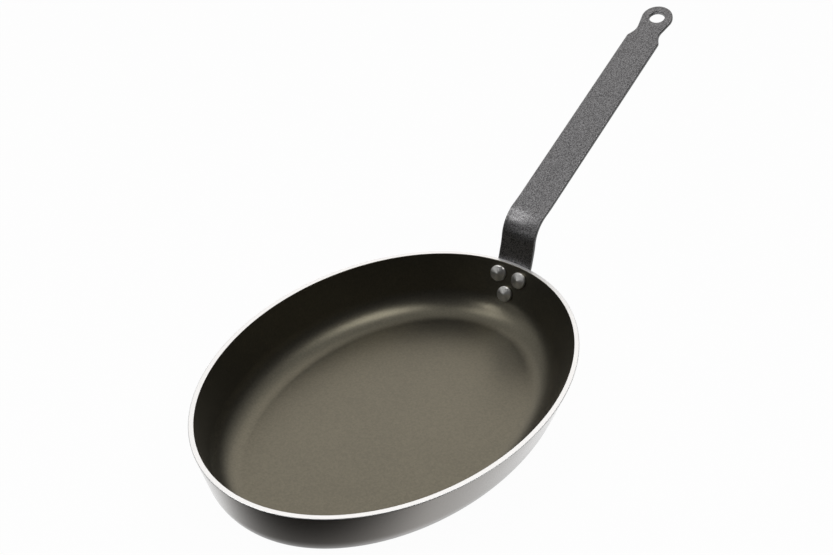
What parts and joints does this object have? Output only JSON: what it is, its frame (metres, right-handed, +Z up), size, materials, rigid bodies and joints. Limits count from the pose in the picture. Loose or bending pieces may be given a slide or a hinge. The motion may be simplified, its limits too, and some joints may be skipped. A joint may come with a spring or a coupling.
{
  "type": "oval fish pan",
  "caption": "Deep oval frying pan of thick coated aluminium with a flat steel strip handle riveted at one end, for frying whole fish.",
  "frame": {"origin": "middle of the flat base, on the surface that the pan stands on", "axes": "+Z up, +X along the oval's long axis towards the handle"},
  "size_m": [0.6104, 0.2496, 0.2027],
  "materials": {
    "pan_body": "dark non-stick lining inside, dark lacquer outside, bare machined rim",
    "handle": "dark grey speckled epoxy coat on steel strip",
    "rivets": "satin, bare"
  },
  "bodies": {
    "root": {"pan_body": "pan_body", "handle": "handle", "rivet_upper_left": "rivets", "rivet_upper_right": "rivets", "rivet_lower": "rivets"}
  },
  "joints": []
}
